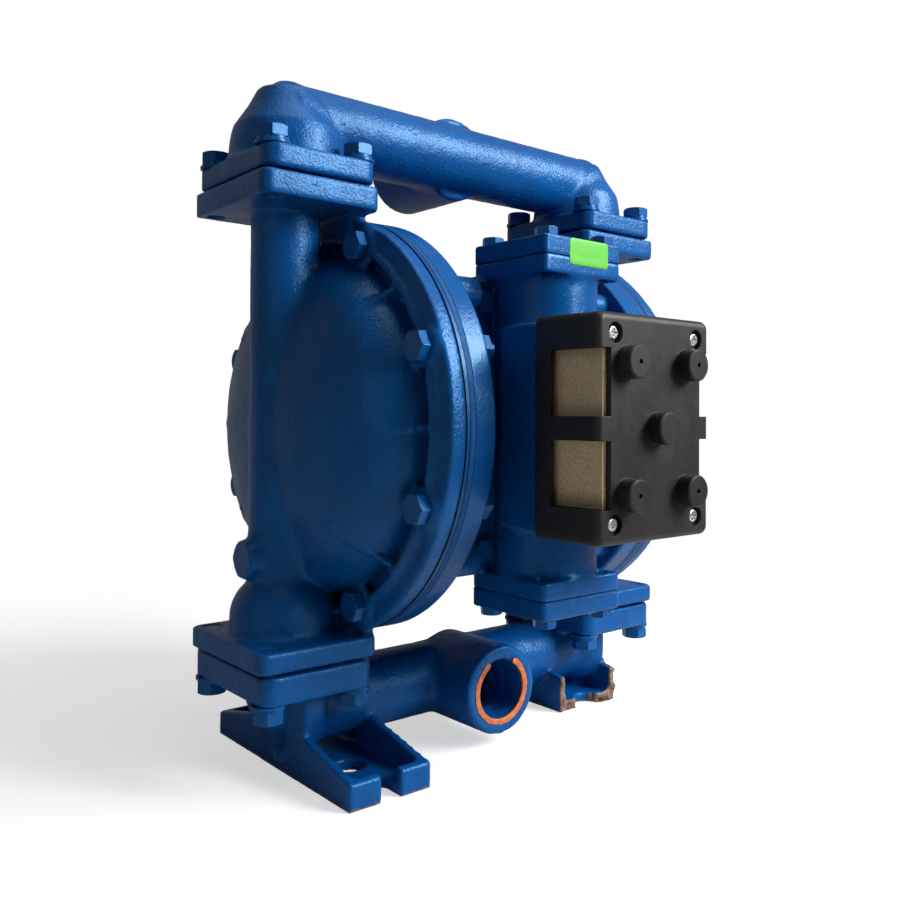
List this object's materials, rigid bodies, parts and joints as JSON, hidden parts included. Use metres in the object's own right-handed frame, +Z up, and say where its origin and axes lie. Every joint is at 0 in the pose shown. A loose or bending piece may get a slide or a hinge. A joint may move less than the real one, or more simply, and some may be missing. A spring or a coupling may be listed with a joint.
{
  "type": "air operated diaphragm pump",
  "caption": "Air operated double diaphragm pump with ball check valves, cast chambers either side of a centre housing, pipe manifolds above and below, a front spool valve and a black muffler.",
  "frame": {"origin": "centre of the outline on the floor, under the feet", "axes": "+X to the right along the rod, +Y to the back, +Z up"},
  "size_m": [0.3866, 0.3754, 0.4912],
  "materials": {
    "blue_enamel": "deep blue enamel over a sand casting",
    "dark_casting": "dark blue enamel over a casting",
    "zinc_steel": "zinc plated",
    "bare_steel": "ground",
    "black_plastic": "fine matt moulding",
    "foam": "coarse porous felt",
    "label": "plain printed film",
    "rubber": "matt",
    "white_plastic": "smooth",
    "bronze": "turned",
    "aluminium": "hard anodised"
  },
  "bodies": {
    "pump": {"bottom_bumper": "rubber", "bottom_cap_bolts": "blue_enamel", "bottom_end_cap": "blue_enamel", "bottom_gasket": "rubber", "centre_housing": "dark_casting", "discharge_bolts": "blue_enamel", "discharge_manifold": "blue_enamel", "discharge_seals": "rubber", "discharge_washers": "blue_enamel", "housing_screws": "zinc_steel", "label": "label", "left_chamber_bolts": "blue_enamel", "left_chamber_nuts": "blue_enamel", "left_diaphragm": "rubber", "left_discharge_seat": "bare_steel", "left_inner_chamber": "blue_enamel", "left_outer_chamber": "blue_enamel", "left_overlay": "white_plastic", "left_plunger_bush": "bronze", "left_rod_bushing": "bronze", "left_suction_seat": "bare_steel", "muffler": "black_plastic", "muffler_foam": "foam", "muffler_screws": "zinc_steel", "pilot_body": "bronze", "right_chamber_bolts": "blue_enamel", "right_chamber_nuts": "blue_enamel", "right_diaphragm": "rubber", "right_discharge_seat": "bare_steel", "right_inner_chamber": "blue_enamel", "right_outer_chamber": "blue_enamel", "right_overlay": "white_plastic", "right_plunger_bush": "bronze", "right_rod_bushing": "bronze", "right_suction_seat": "bare_steel", "rod_seals": "rubber", "suction_bolts": "blue_enamel", "suction_manifold": "blue_enamel", "suction_seals": "rubber", "suction_washers": "blue_enamel", "top_bumper": "rubber", "top_cap_bolts": "blue_enamel", "top_end_cap": "blue_enamel", "top_gasket": "rubber", "valve_body": "blue_enamel", "valve_mount_screws": "blue_enamel", "valve_sleeve": "aluminium"},
    "shuttle": {"rod": "bare_steel", "left_outer_plate": "bare_steel", "right_outer_plate": "bare_steel", "left_inner_plate": "bare_steel", "right_inner_plate": "bare_steel"},
    "air_spool": {"valve_spool": "aluminium"},
    "pilot": {"pilot_spool": "bare_steel", "left_plunger": "bare_steel", "right_plunger": "bare_steel"},
    "left_suction_check": {"left_suction_ball": "white_plastic"},
    "right_suction_check": {"right_suction_ball": "white_plastic"},
    "left_discharge_check": {"left_discharge_ball": "white_plastic"},
    "right_discharge_check": {"right_discharge_ball": "white_plastic"}
  },
  "joints": [
    {"name": "shuttle_slide", "type": "slide", "parent": "pump", "child": "shuttle", "axis": [1, 0, 0], "range_m": [-0.016, 0.016], "deforming": ["left_diaphragm", "right_diaphragm", "left_overlay", "right_overlay"]},
    {"name": "pilot_slide", "type": "slide", "parent": "pump", "child": "pilot", "axis": [1, 0, 0], "range_m": [-0.005, 0.005]},
    {"name": "air_spool_slide", "type": "slide", "parent": "pump", "child": "air_spool", "axis": [0, 0, 1], "range_m": [0, 0.014]},
    {"name": "left_suction_lift", "type": "slide", "parent": "pump", "child": "left_suction_check", "axis": [0, 0, 1], "range_m": [0, 0.012]},
    {"name": "right_suction_lift", "type": "slide", "parent": "pump", "child": "right_suction_check", "axis": [0, 0, 1], "range_m": [0, 0.012]},
    {"name": "left_discharge_lift", "type": "slide", "parent": "pump", "child": "left_discharge_check", "axis": [0, 0, 1], "range_m": [0, 0.012]},
    {"name": "right_discharge_lift", "type": "slide", "parent": "pump", "child": "right_discharge_check", "axis": [0, 0, 1], "range_m": [0, 0.012]}
  ],
  "couplings": [
    {"joint": "pilot_slide", "follows": "shuttle_slide", "ratio": 0.3125}
  ]
}
